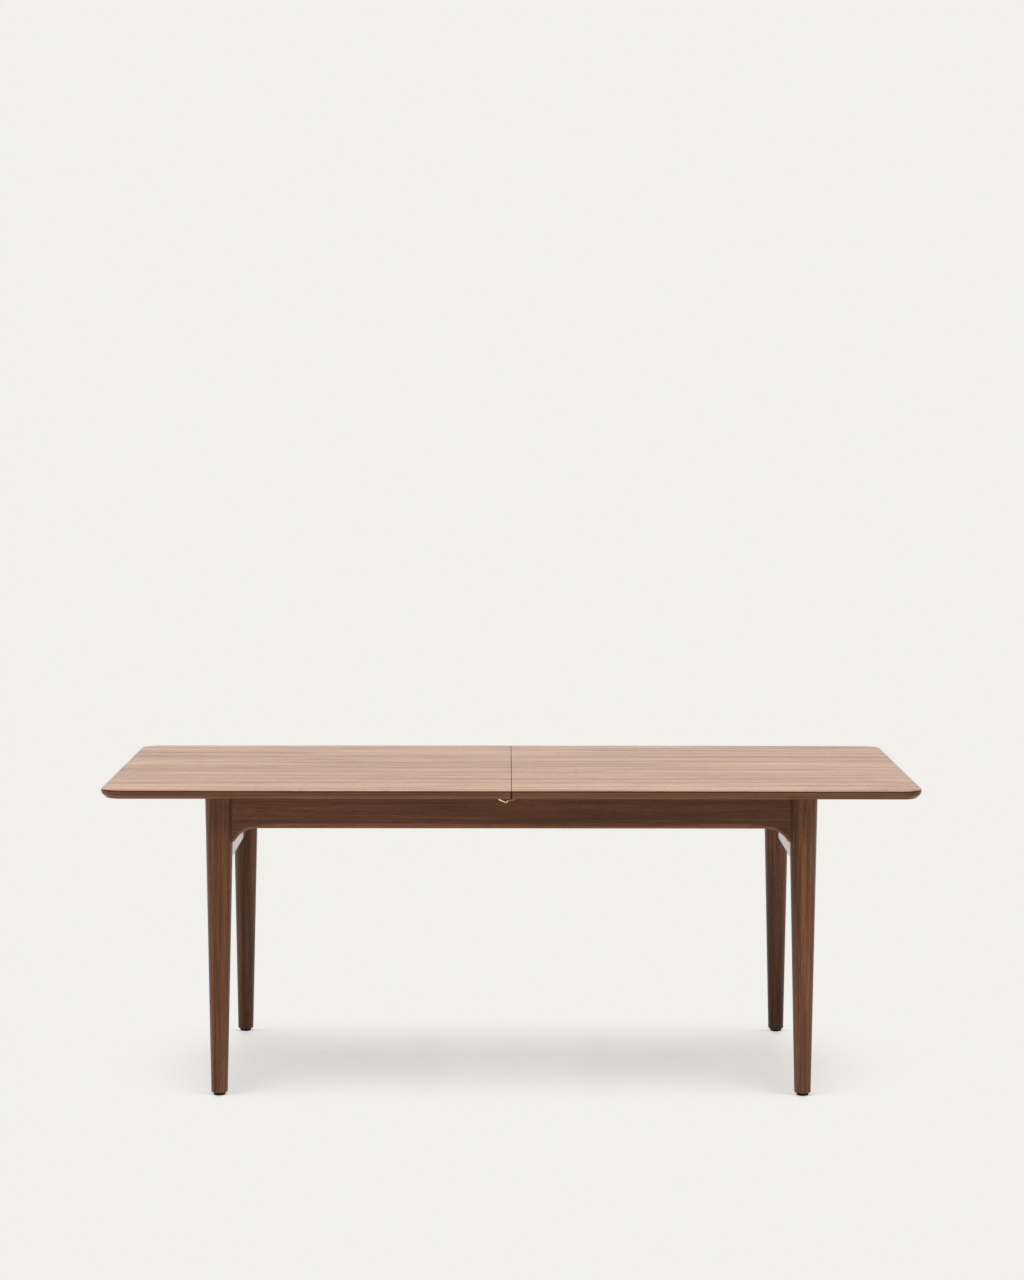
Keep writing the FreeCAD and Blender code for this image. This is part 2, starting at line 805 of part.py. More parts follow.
# dowels are glued in the left half and slide into sockets in the right half
left_top = plain_top.copy()
left_top.rotate(origin, along_z, 180)
right_top = plain_top
socket_radius = dowel_radius + socket_clearance
socket_depth = dowel_half_length + socket_extra_depth
seam_dowels = []
for y in dowel_places:
    dowel_start = point(-half_seam - dowel_half_length, y, underside + dowel_level)
    seam_dowels.append(dowel(dowel_start, along_x))
    socket_start = point(half_seam, y, underside + dowel_level)
    right_top = right_top.cut(rod(socket_radius, socket_depth, socket_start, along_x))
    left_top = left_top.cut(rod(dowel_radius, dowel_half_length, dowel_start, along_x))
for cutter in [latch_plate] + latch_screws:
    left_top = left_top.cut(cutter)
for cutter in [keeper_blank, keeper_pocket] + keeper_screws:
    right_top = right_top.cut(cutter)
save("left_top_panel", left_top)
save("right_top_panel", right_top)
save("seam_dowels", *seam_dowels)

# loose leaf, stored lengthwise; its ends carry the same edge as the long sides of the top
leaf_band = leaf_bottom + top_thickness - edge_band
leaf_top = leaf_bottom + top_thickness
leaf_section = [
    point(bevel_width - half_width, leaf_near, leaf_bottom),
    point(half_width - bevel_width, leaf_near, leaf_bottom),
    point(half_width, leaf_near, leaf_band),
    point(half_width, leaf_near, leaf_top),
    point(-half_width, leaf_near, leaf_top),
    point(-half_width, leaf_near, leaf_band),
]
leaf = prism(leaf_section, along_y * leaf_width)
leaf_ends = edges_where(leaf, lambda b: near(b.ZMin, leaf_top) and near(b.YLength, leaf_width))
leaf = leaf.makeFillet(top_arris, leaf_ends)
leaf_bevels = edges_where(
    leaf,
    lambda b: near(b.ZMin, leaf_band) and near(b.ZMax, leaf_band) and near(b.YLength, leaf_width),
)
leaf = leaf.makeFillet(bevel_rounding, leaf_bevels)
leaf_dowels = []
for x in dowel_places:
    dowel_start = point(x, leaf_near + dowel_half_length, leaf_bottom + dowel_level)
    leaf_dowels.append(dowel(dowel_start, -along_y))
    leaf = leaf.cut(rod(dowel_radius, dowel_half_length, dowel_start, -along_y))
    socket_start = point(x, leaf_far, leaf_bottom + dowel_level)
    leaf = leaf.cut(rod(socket_radius, socket_depth, socket_start, -along_y))
save("extension_leaf", leaf)
save("leaf_dowels", *leaf_dowels)

# guides: flat strips with a low lip beside the leaf
guide = box(
    -end_rail_outer, end_rail_outer, lip_outer - guide_base_width, lip_outer, end_rail_top, leaf_bottom
).fuse(
    box(-end_rail_outer, end_rail_outer, lip_inner, lip_outer, end_rail_top, leaf_bottom + guide_lip_height)
)
guide = guide.removeSplitter()
save("leaf_guide_rear", guide)
save("leaf_guide_front", guide.mirror(point(0, leaf_shift, 0), along_y))
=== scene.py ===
import math

import bpy
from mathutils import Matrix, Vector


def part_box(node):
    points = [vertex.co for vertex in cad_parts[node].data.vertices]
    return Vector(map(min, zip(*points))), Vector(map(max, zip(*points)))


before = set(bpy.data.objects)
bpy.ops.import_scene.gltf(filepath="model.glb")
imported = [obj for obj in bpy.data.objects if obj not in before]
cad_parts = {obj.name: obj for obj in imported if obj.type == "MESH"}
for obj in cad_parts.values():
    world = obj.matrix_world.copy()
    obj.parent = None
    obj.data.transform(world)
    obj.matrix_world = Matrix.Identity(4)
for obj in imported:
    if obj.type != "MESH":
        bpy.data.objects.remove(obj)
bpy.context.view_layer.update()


def linearColour(hexColour):
    channels = [int(hexColour[i:i + 2], 16) / 255 for i in (1, 3, 5)]
    return [c / 12.92 if c <= 0.04045 else ((c + 0.055) / 1.055) ** 2.4 for c in channels] + [1]


def addNode(tree, kind, values=None, links=None, **settings):
    node = tree.nodes.new(kind)
    for name, value in settings.items():
        setattr(node, name, value)
    for socket, value in (values or {}).items():
        node.inputs[socket].default_value = value
    for socket, source in (links or {}).items():
        tree.links.new(source, node.inputs[socket])
    return node


def newMaterial(name):
    material = bpy.data.materials.new(name)
    material.use_nodes = True
    tree = material.node_tree
    tree.nodes.clear()
    place = addNode(tree, "ShaderNodeTexCoord").outputs["Object"]
    return material, tree, place


def fillRamp(ramp, positions, hexColours):
    elements = ramp.color_ramp.elements
    while len(elements) < len(positions):
        elements.new(0.5)
    for element, position, hexColour in zip(elements, positions, hexColours):
        element.position = position
        element.color = linearColour(hexColour)


def drawnOut(tree, point, along, sizesMm, detail, roughness=0.5):
    # noise drawn out along the grain: its two sizes are how far it runs along and across
    slow, quick = [1000 / size for size in sizesMm]
    scales = [slow if axis == along else quick for axis in "XYZ"]
    spread = addNode(tree, "ShaderNodeMapping", {"Scale": scales}, {"Vector": point})
    return addNode(tree, "ShaderNodeTexNoise", {"Scale": 1, "Detail": detail, "Roughness": roughness},
                   {"Vector": spread.outputs[0]})


def dress(material, names):
    for name in names:
        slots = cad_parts[name].data.materials
        slots.clear()
        slots.append(material)


def nodesStarting(*starts):
    return sorted(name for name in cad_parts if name.startswith(starts))


# walnut: lines of brown heartwood along the grain, open pores, a satin lacquer
solidWalnut = {
    "heart": "#583425", "wood": "#774B31", "pale": "#936243", "pore": "#46281A",
    "wanderMm": (600, 160), "wanderBy": 0.006, "grainRoughness": 0.6,
    "bandMm": (1100, 26), "fleckMm": (140, 7), "streakMm": (380, 4.5),
    "poreMm": (30, 1.1),  # real pores are 0.3 mm wide, drawn coarser so that they show
    "shares": (0.45, 0.15, 0.40),  # how much bands, flecks and streaks count
    "contrast": 0.15, "poreShows": (0.34, 0.44), "poreShade": 0.55, "poreDepthMm": 0.06, "poreBump": 0.5,
    "gloss": (0.30, 0.40), "ior": 1.32,
}
rubbedWalnut = dict(solidWalnut, poreDepthMm=0.01, ior=1.5, glancingGloss=0.03,
                    glancingShows=(0.78, 0.9))  # the end rails, rubbed until they shine when seen edge on
stripedWalnut = dict(solidWalnut, heart="#5C3826", wood="#7F5235", pale="#9C6B49", bandMm=(1300, 17),
                     shares=(0.6, 0.1, 0.3), contrast=0.125)  # the legs, sawn where the heart is striped
purplishWalnut = dict(stripedWalnut, heart="#5E3B2D", wood="#83573F", pale="#A07055")  # the rear legs, a little paler and more purple than the front ones
lippingWalnut = dict(solidWalnut, heart="#573429", wood="#774C37", pale="#90644B")  # the edges of the tops


def walnutColour(tree, look, along, point):
    # point is where the wood is read; the colour and the pore mask come back
    wander = drawnOut(tree, point, along, look["wanderMm"], 1)
    centred = addNode(tree, "ShaderNodeVectorMath", {1: (0.5, 0.5, 0.5)}, {0: wander.outputs["Color"]},
                      operation="SUBTRACT")
    reach = [0 if axis == along else look["wanderBy"] * 2 for axis in "XYZ"]
    sway = addNode(tree, "ShaderNodeVectorMath", {1: reach}, {0: centred.outputs[0]}, operation="MULTIPLY")
    swayed = addNode(tree, "ShaderNodeVectorMath", {}, {0: point, 1: sway.outputs[0]}, operation="ADD")
    readings = []
    for sizes, detail in (("bandMm", 2), ("fleckMm", 2), ("streakMm", 3), ("poreMm", 1)):
        noise = drawnOut(tree, swayed.outputs[0], along, look[sizes], detail, look["grainRoughness"])
        readings.append(noise.outputs["Fac"])
    figure = addNode(tree, "ShaderNodeMath", {1: look["shares"][0]}, {0: readings[0]}, operation="MULTIPLY")
    for reading, share in zip(readings[1:3], look["shares"][1:]):
        figure = addNode(tree, "ShaderNodeMath", {1: share}, {0: reading, 2: figure.outputs[0]},
                         operation="MULTIPLY_ADD")
    ramp = addNode(tree, "ShaderNodeValToRGB", {}, {"Fac": figure.outputs[0]})
    fillRamp(ramp, (0.5 - look["contrast"], 0.5, 0.5 + look["contrast"]),
             (look["heart"], look["wood"], look["pale"]))
    pores = addNode(tree, "ShaderNodeMapRange", {
        "From Min": look["poreShows"][0], "From Max": look["poreShows"][1], "To Min": 1, "To Max": 0},
        {"Value": readings[3]}, interpolation_type="SMOOTHSTEP")
    return ramp.outputs["Color"], pores.outputs[0]


def finishWalnut(tree, look, colour, pores, shine=None):
    shade = addNode(tree, "ShaderNodeMath", {1: look["poreShade"]}, {0: pores}, operation="MULTIPLY")
    stained = addNode(tree, "ShaderNodeMix", {7: linearColour(look["pore"])},
                      {0: shade.outputs[0], 6: colour}, data_type="RGBA")
    rough = addNode(tree, "ShaderNodeMapRange", {"To Min": look["gloss"][0], "To Max": look["gloss"][1]},
                    {"Value": pores})
    if "glancingGloss" in look:
        edgeOn = addNode(tree, "ShaderNodeLayerWeight", {"Blend": 0.5})
        glancing = addNode(tree, "ShaderNodeMapRange", {
            "From Min": look["glancingShows"][0], "From Max": look["glancingShows"][1]},
            {"Value": edgeOn.outputs["Facing"]})
        rough = addNode(tree, "ShaderNodeMix", {3: look["glancingGloss"]},
                        {0: glancing.outputs[0], 2: rough.outputs[0]}, data_type="FLOAT")
    hollows = addNode(tree, "ShaderNodeBump", {
        "Strength": look["poreBump"], "Distance": look["poreDepthMm"] / 1000},
        {"Height": pores}, invert=True)
    lacquer = addNode(tree, "ShaderNodeBsdfPrincipled", {"IOR": look["ior"]}, {
        "Base Color": stained.outputs[2], "Roughness": rough.outputs[0], "Normal": hollows.outputs[0]})
    if shine:
        tree.links.new(shine, lacquer.inputs["Specular IOR Level"])
    addNode(tree, "ShaderNodeOutputMaterial", {}, {"Surface": lacquer.outputs[0]})


def walnutAlong(along, piece, look=solidWalnut, paintedLight=None):
    material, tree, place = newMaterial("lacquered_walnut_" + piece)
    colour, pores = walnutColour(tree, look, along, place)
    # the optional tone scales the colour by painted highlight and painted shade
    if paintedLight:
        colour = addNode(tree, "ShaderNodeVectorMath", {}, {0: colour, "Scale": paintedLight(tree, place)},
                         operation="SCALE").outputs[0]
    finishWalnut(tree, look, colour, pores)
    return material


# the aprons: a painted highlight along the rounded lower edge and on a band above it, painted shade where
# they meet the legs
apronPaintedLight = {
    "highlightTone": 2.0, "highlightFacing": -0.38, "highlightSpread": 0.37,  # on the rounding, brackets too
    "bandHighlightTone": 2.1, "bandFrom": 0.0085, "bandTo": 0.0155,  # on the outer face, above the straight edge
    "bandFacing": 0.28, "bandFade": 0.05,
    "bracketDrop": 0.034, "bracketReach": 0.0915, "jointShadeTone": 0.45, "jointWidth": 0.003, "legFoot": 0.0203,
}


# painted highlight: the rounded lower edge and a band just above the straight edge are made paler, where
# light from the floor would catch them
def paintedHighlightEdge(tree, spot, facing, fromMiddle, bracketStart):
    offEdge = addNode(tree, "ShaderNodeMath", {1: apronPaintedLight["highlightFacing"]}, {0: facing.outputs["Z"]},
                      operation="SUBTRACT")
    away = addNode(tree, "ShaderNodeMath", {}, {0: offEdge.outputs[0]}, operation="ABSOLUTE")
    paintedHighlight = addNode(tree, "ShaderNodeMapRange", {
        "From Max": apronPaintedLight["highlightSpread"], "To Min": apronPaintedLight["highlightTone"], "To Max": 1},
        {"Value": away.outputs[0]}, interpolation_type="SMOOTHSTEP")
    outward = addNode(tree, "ShaderNodeMath", {}, {0: spot.outputs["Y"], 1: facing.outputs["Y"]},
                      operation="MULTIPLY")
    outer = addNode(tree, "ShaderNodeMath", {1: apronPaintedLight["bandFacing"]}, {0: outward.outputs[0]},
                    operation="GREATER_THAN")  # the outer face, not the back or the underside
    straight = addNode(tree, "ShaderNodeMapRange", {
        "From Min": bracketStart - apronPaintedLight["bandFade"], "From Max": bracketStart,
        "To Min": 1, "To Max": 0}, {"Value": fromMiddle.outputs["X"]})
    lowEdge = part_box("front_apron")[0][2] + apronPaintedLight["bracketDrop"]
    fading = addNode(tree, "ShaderNodeMapRange", {
        "From Min": lowEdge + apronPaintedLight["bandFrom"], "From Max": lowEdge + apronPaintedLight["bandTo"],
        "To Min": apronPaintedLight["bandHighlightTone"], "To Max": 1},
        {"Value": spot.outputs["Z"]}, interpolation_type="SMOOTHSTEP")
    banded = addNode(tree, "ShaderNodeMath", {}, {0: outer.outputs[0], 1: straight.outputs[0]},
                     operation="MULTIPLY")
    band = addNode(tree, "ShaderNodeMix", {2: 1}, {0: banded.outputs[0], 3: fading.outputs[0]},
                   data_type="FLOAT")
    return addNode(tree, "ShaderNodeMath", {}, {0: paintedHighlight.outputs[0], 1: band.outputs[0]},
                   operation="MAXIMUM").outputs[0]


# painted shade: the apron is darkened in a thin line where it meets a leg
def shadeBesideLeg(tree, spot, mirrored, legAxis, legBox):
    low, high = legBox
    fromLeg = addNode(tree, "ShaderNodeVectorMath", {1: legAxis}, {0: mirrored}, operation="SUBTRACT")
    level = addNode(tree, "ShaderNodeVectorMath", {1: (1, 1, 0)}, {0: fromLeg.outputs[0]},
                    operation="MULTIPLY")
    reach = addNode(tree, "ShaderNodeVectorMath", {}, {0: level.outputs[0]}, operation="LENGTH")
    legRadius = addNode(tree, "ShaderNodeMapRange", {
        "From Min": low[2], "From Max": high[2],
        "To Min": apronPaintedLight["legFoot"], "To Max": (high[0] - low[0]) / 2}, {"Value": spot.outputs["Z"]})
    gap = addNode(tree, "ShaderNodeMath", {}, {0: reach.outputs["Value"], 1: legRadius.outputs[0]},
                  operation="SUBTRACT")
    return addNode(tree, "ShaderNodeMapRange", {
        "From Min": apronPaintedLight["jointWidth"] / 2, "From Max": apronPaintedLight["jointWidth"],
        "To Min": apronPaintedLight["jointShadeTone"], "To Max": 1}, {"Value": gap.outputs[0]}).outputs[0]


# painted light on the aprons: a highlight along the lower edge, shade beside the legs
def paintedApronLight(tree, place):
    low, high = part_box("leg_front_right")
    legAxis = ((low[0] + high[0]) / 2, -(low[1] + high[1]) / 2, 0)
    spot = addNode(tree, "ShaderNodeSeparateXYZ", {}, {0: place})
    facing = addNode(tree, "ShaderNodeSeparateXYZ", {}, {
        0: addNode(tree, "ShaderNodeNewGeometry").outputs["Normal"]})
    mirrored = addNode(tree, "ShaderNodeVectorMath", {}, {0: place}, operation="ABSOLUTE").outputs[0]
    fromMiddle = addNode(tree, "ShaderNodeSeparateXYZ", {}, {0: mirrored})
    edge = paintedHighlightEdge(tree, spot, facing, fromMiddle, legAxis[0] - apronPaintedLight["bracketReach"])
    joint = shadeBesideLeg(tree, spot, mirrored, legAxis, (low, high))
    return addNode(tree, "ShaderNodeMath", {}, {0: edge, 1: joint}, operation="MULTIPLY").outputs[0]


dress(walnutAlong("X", "aprons", paintedLight=paintedApronLight), nodesStarting("front_apron", "rear_apron"))
dress(walnutAlong("Y", "end_rails", rubbedWalnut), nodesStarting("left_end_rail", "right_end_rail"))
dress(walnutAlong("Z", "front_legs", stripedWalnut), nodesStarting("leg_front"))
dress(walnutAlong("Z", "rear_legs", purplishWalnut), nodesStarting("leg_rear"))
print("aprons, end rails and legs in solid walnut")


# sliced walnut veneer in leaves laid side by side, each with its own tone, inside a lipping of solid walnut
topVeneer = dict(
    solidWalnut, heart="#83563D", wood="#A7785B", pale="#C2987B", pore="#6E452C",
    wanderMm=(500, 180), wanderBy=0.008, fleckMm=(150, 12), streakMm=(300, 3.2), poreMm=(28, 0.9),
    shares=(0.55, 0.25, 0.20), contrast=0.08, poreDepthMm=0.04, gloss=(0.28, 0.38), ior=1.38,
    leafWidth=0.15, leafShift=3.0, leafTone=0.16,
    # painted light: the top is paler towards the front and darker towards the rear
    frontPaintedLight=1.18, rearPaintedShade=0.95, toneFrom=-0.45, toneTo=0.05,  # paler towards the front
    lippingFacing=-0.225, lippingSpread=0.725,  # the upright band and the bevel under it
    endFacing=0.45, faceShine=0.5, edgeShine=0.3,
    glueDown=0.0032, glueHalf=0.0014, glueTone=0.22,
    seamOnFace=0.0008, seamOnEdge=0.0018, seamFacing=0.85, seamShadeTone=0.15,
)
leafVeneer = dict(topVeneer, seamOnFace=0, seamOnEdge=0)  # one board, with no seam of its own


def veneerLeaves(tree, look, along, place, acrossGrain):
    strip = addNode(tree, "ShaderNodeMath", {1: look["leafWidth"]}, {0: acrossGrain}, operation="DIVIDE")
    leaf = addNode(tree, "ShaderNodeMath", {}, {0: strip.outputs[0]}, operation="FLOOR")
    chance = addNode(tree, "ShaderNodeTexWhiteNoise", {}, {"W": leaf.outputs[0]}, noise_dimensions="1D")
    slide = addNode(tree, "ShaderNodeVectorMath", {"Scale": look["leafShift"]}, {0: chance.outputs["Color"]},
                    operation="SCALE")
    slid = addNode(tree, "ShaderNodeVectorMath", {}, {0: place, 1: slide.outputs[0]}, operation="ADD")
    colour, pores = walnutColour(tree, look, along, slid.outputs[0])
    tone = addNode(tree, "ShaderNodeMapRange", {
        "To Min": 1 - look["leafTone"], "To Max": 1 + look["leafTone"] / 2},
        {"Value": chance.outputs["Value"]})
    toned = addNode(tree, "ShaderNodeVectorMath", {}, {0: colour, "Scale": tone.outputs[0]},
                    operation="SCALE")
    return toned.outputs[0], pores


def lippedEdge(tree, look, place, height, endways, faceHeight):
    atEnd = addNode(tree, "ShaderNodeMath", {1: look["endFacing"]}, {0: endways}, operation="GREATER_THAN")
    turned = addNode(tree, "ShaderNodeMapping", {"Rotation": (0, 0, math.radians(90))}, {"Vector": place})
    grainPlace = addNode(tree, "ShaderNodeMix", {}, {0: atEnd.outputs[0], 4: place, 5: turned.outputs[0]},
                         data_type="VECTOR")
    colour, pores = walnutColour(tree, lippingWalnut, "X", grainPlace.outputs[1])
    glue = addNode(tree, "ShaderNodeMath", {1: faceHeight - look["glueDown"], 2: look["glueHalf"]},
                   {0: height}, operation="COMPARE")
    tone = addNode(tree, "ShaderNodeMix", {2: 1, 3: look["glueTone"]}, {0: glue.outputs[0]},
                   data_type="FLOAT")  # the dark glue line under the veneer
    toned = addNode(tree, "ShaderNodeVectorMath", {}, {0: colour, "Scale": tone.outputs[0]},
                    operation="SCALE")
    return toned.outputs[0], pores


def alongSeam(tree, look, fromSeam, lipping, endways):
    reach = addNode(tree, "ShaderNodeMix", {2: look["seamOnFace"], 3: look["seamOnEdge"]}, {0: lipping},
                    data_type="FLOAT")
    near = addNode(tree, "ShaderNodeMath", {1: 0}, {0: fromSeam, 2: reach.outputs[0]}, operation="COMPARE")
    offEnd = addNode(tree, "ShaderNodeMath", {1: look["seamFacing"]}, {0: endways}, operation="LESS_THAN")
    return addNode(tree, "ShaderNodeMath", {}, {0: near.outputs[0], 1: offEnd.outputs[0]},
                   operation="MULTIPLY").outputs[0]


def veneeredPanel(along, piece, node, look):
    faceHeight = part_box(node)[1][2]
    material, tree, place = newMaterial("lacquered_walnut_veneer_" + piece)
    spot = addNode(tree, "ShaderNodeSeparateXYZ", {}, {0: place})
    acrossGrain = spot.outputs["Y" if along == "X" else "X"]
    facing = addNode(tree, "ShaderNodeSeparateXYZ", {}, {
        0: addNode(tree, "ShaderNodeNewGeometry").outputs["Normal"]})
    endways = addNode(tree, "ShaderNodeMath", {}, {0: facing.outputs["X"]}, operation="ABSOLUTE").outputs[0]
    lipping = addNode(tree, "ShaderNodeMath", {1: look["lippingFacing"], 2: look["lippingSpread"]},
                      {0: facing.outputs["Z"]}, operation="COMPARE").outputs[0]
    faceColour, facePores = veneerLeaves(tree, look, along, place, acrossGrain)
    edgeColour, edgePores = lippedEdge(tree, look, place, spot.outputs["Z"], endways, faceHeight)
    colour = addNode(tree, "ShaderNodeMix", {}, {0: lipping, 6: faceColour, 7: edgeColour}, data_type="RGBA")
    pores = addNode(tree, "ShaderNodeMix", {}, {0: lipping, 2: facePores, 3: edgePores}, data_type="FLOAT")
    seam = alongSeam(tree, look, spot.outputs["X"], lipping, endways)
    # painted light sloping from the front of the top to the rear
    paintedLightSlope = addNode(tree, "ShaderNodeMapRange", {
        "From Min": look["toneFrom"], "From Max": look["toneTo"],
        "To Min": look["frontPaintedLight"], "To Max": look["rearPaintedShade"]}, {"Value": acrossGrain})
    tone = addNode(tree, "ShaderNodeMix", {3: look["seamShadeTone"]}, {0: seam, 2: paintedLightSlope.outputs[0]},
                   data_type="FLOAT")  # painted shade along the seam
    toned = addNode(tree, "ShaderNodeVectorMath", {}, {0: colour.outputs[2], "Scale": tone.outputs[0]},
                    operation="SCALE")
    sheen = addNode(tree, "ShaderNodeMix", {2: look["faceShine"], 3: look["edgeShine"]}, {0: lipping},
                    data_type="FLOAT")
    shine = addNode(tree, "ShaderNodeMix", {3: 0}, {0: seam, 2: sheen.outputs[0]}, data_type="FLOAT")
    finishWalnut(tree, look, toned.outputs[0], pores.outputs[0], shine.outputs[0])
    return material


dress(veneeredPanel("X", "tops", "left_top_panel", topVeneer),
      nodesStarting("left_top_panel", "right_top_panel"))
dress(veneeredPanel("Y", "leaf", "extension_leaf", leafVeneer),
      nodesStarting("extension_leaf"))  # stored turned, so its grain runs across
print("tops and leaf in walnut veneer")


# beech, planed and left bare: even pinkish tan with short dark ray flecks
beech = {
    "wood": "#C9A176", "pale": "#DDBB93", "fleck": "#A0734A", "toneMm": (500, 30), "fleckMm": (7, 1.3),
    "toneStops": (0.35, 0.65), "fleckShows": (0.6, 0.68), "fleckDepthMm": 0.05, "fleckBump": 0.4,
    "rough": (0.55, 0.68), "ior": 1.5,
}


def beechAlong(along, piece):
    material, tree, place = newMaterial("planed_beech_" + piece)
    tone = drawnOut(tree, place, along, beech["toneMm"], 2).outputs["Fac"]
    fleck = drawnOut(tree, place, along, beech["fleckMm"], 2).outputs["Fac"]
    ramp = addNode(tree, "ShaderNodeValToRGB", {}, {"Fac": tone})
    fillRamp(ramp, beech["toneStops"], (beech["wood"], beech["pale"]))
    flecks = addNode(tree, "ShaderNodeMapRange", {
        "From Min": beech["fleckShows"][0], "From Max": beech["fleckShows"][1]}, {"Value": fleck})
    colour = addNode(tree, "ShaderNodeMix", {7: linearColour(beech["fleck"])},
                     {0: flecks.outputs[0], 6: ramp.outputs["Color"]}, data_type="RGBA")
    rough = addNode(tree, "ShaderNodeMapRange", {"To Min": beech["rough"][0], "To Max": beech["rough"][1]},
                    {"Value": tone})
    planing = addNode(tree, "ShaderNodeBump", {
        "Strength": beech["fleckBump"], "Distance": beech["fleckDepthMm"] / 1000}, {"Height": fleck})
    bare = addNode(tree, "ShaderNodeBsdfPrincipled", {"IOR": beech["ior"]}, {
        "Base Color": colour.outputs[2], "Roughness": rough.outputs[0], "Normal": planing.outputs[0]})
    addNode(tree, "ShaderNodeOutputMaterial", {}, {"Surface": bare.outputs[0]})
    return material


dress(beechAlong("X", "lengthways"), nodesStarting(
    "front_bearer", "rear_bearer", "batten_left", "batten_right", "leaf_guide", "corner_block",
    "seam_dowels"))
dress(beechAlong("Y", "crossways"), nodesStarting("left_cross_rail", "right_cross_rail", "leaf_dowels"))
print("inner frame in beech")


# zinc plated steel, rolled: pale blue grey, faint drawn lines along the runner, soft cloudy shine
zinc = {
    "bright": "#D0D4D6", "dull": "#B2B7BA", "cloudMm": 14, "cloudStops": (0.35, 0.65),
    "lineMm": (160, 0.7), "lineDepthMm": 0.01, "lineBump": 0.3,  # lines wider than real ones, to show
    "rough": (0.26, 0.42), "roughFrom": (0.3, 0.7),
}


def zincPlated():
    material, tree, place = newMaterial("zinc_plated_steel")
    lines = drawnOut(tree, place, "X", zinc["lineMm"], 2)
    clouds = addNode(tree, "ShaderNodeTexNoise", {"Scale": 1000 / zinc["cloudMm"], "Detail": 3},
                     {"Vector": place})
    ramp = addNode(tree, "ShaderNodeValToRGB", {}, {"Fac": clouds.outputs["Fac"]})
    fillRamp(ramp, zinc["cloudStops"], (zinc["dull"], zinc["bright"]))
    rough = addNode(tree, "ShaderNodeMapRange", {
        "From Min": zinc["roughFrom"][0], "From Max": zinc["roughFrom"][1],
        "To Min": zinc["rough"][0], "To Max": zinc["rough"][1]}, {"Value": clouds.outputs["Fac"]})
    drawn = addNode(tree, "ShaderNodeBump", {
        "Strength": zinc["lineBump"], "Distance": zinc["lineDepthMm"] / 1000},
        {"Height": lines.outputs["Fac"]})
    plate = addNode(tree, "ShaderNodeBsdfPrincipled", {"Metallic": 1}, {
        "Base Color": ramp.outputs["Color"], "Roughness": rough.outputs[0], "Normal": drawn.outputs[0]})
    addNode(tree, "ShaderNodeOutputMaterial", {}, {"Surface": plate.outputs[0]})
    return material


dress(zincPlated(), nodesStarting("runner_", "ball_cages", "bearing_balls", "channel_screws", "slide_screws",
                                  "batten_screws", "corner_studs", "corner_nuts"))
print("runners and screws in zinc")


# polished brass: warm yellow, fine rubbing marks, cloudy where the polish has gone a little dull
brass = {
    "bright": "#F6ECC6", "dull": "#E6D49A", "cloudMm": 6, "cloudStops": (0.35, 0.6),
    "rubMm": (9, 0.35), "rough": (0.16, 0.34), "roughFrom": (0.3, 0.7),  # marks wider than real, to show
}
dulledBrass = dict(brass, bright="#B5A67C", dull="#94855C", rough=(0.3, 0.45))  # the arm, darker and duller


def brassLooking(look, finish):
    material, tree, place = newMaterial(finish + "_brass")
    rubs = drawnOut(tree, place, "X", look["rubMm"], 2)
    clouds = addNode(tree, "ShaderNodeTexNoise", {"Scale": 1000 / look["cloudMm"], "Detail": 2},
                     {"Vector": place})
    ramp = addNode(tree, "ShaderNodeValToRGB", {}, {"Fac": clouds.outputs["Fac"]})
    fillRamp(ramp, look["cloudStops"], (look["dull"], look["bright"]))
    rough = addNode(tree, "ShaderNodeMapRange", {
        "From Min": look["roughFrom"][0], "From Max": look["roughFrom"][1],
        "To Min": look["rough"][0], "To Max": look["rough"][1]}, {"Value": rubs.outputs["Fac"]})
    metal = addNode(tree, "ShaderNodeBsdfPrincipled", {"Metallic": 1}, {
        "Base Color": ramp.outputs["Color"], "Roughness": rough.outputs[0]})
    addNode(tree, "ShaderNodeOutputMaterial", {}, {"Surface": metal.outputs[0]})
    return material


dress(brassLooking(brass, "polished"), nodesStarting(
    "latch_bracket", "latch_pin", "latch_keeper", "latch_screws", "keeper_screws"))
dress(brassLooking(dulledBrass, "dulled"), nodesStarting("latch_hook"))
print("latch in brass")


# nylon, moulded black: deep grey black with a fine spark eroded grain, duller where it meets the floor
nylon = {
    "black": "#0C0C0C", "worn": "#1B1A1A", "wornTo": 0.002, "wornStops": (0, 0.7),
    "grainMm": 0.8, "grainDepthMm": 0.03, "grainBump": 0.4,  # grain coarser than the real one, to show
    "rough": (0.42, 0.6), "ior": 1.53, "shine": 0.12,
}


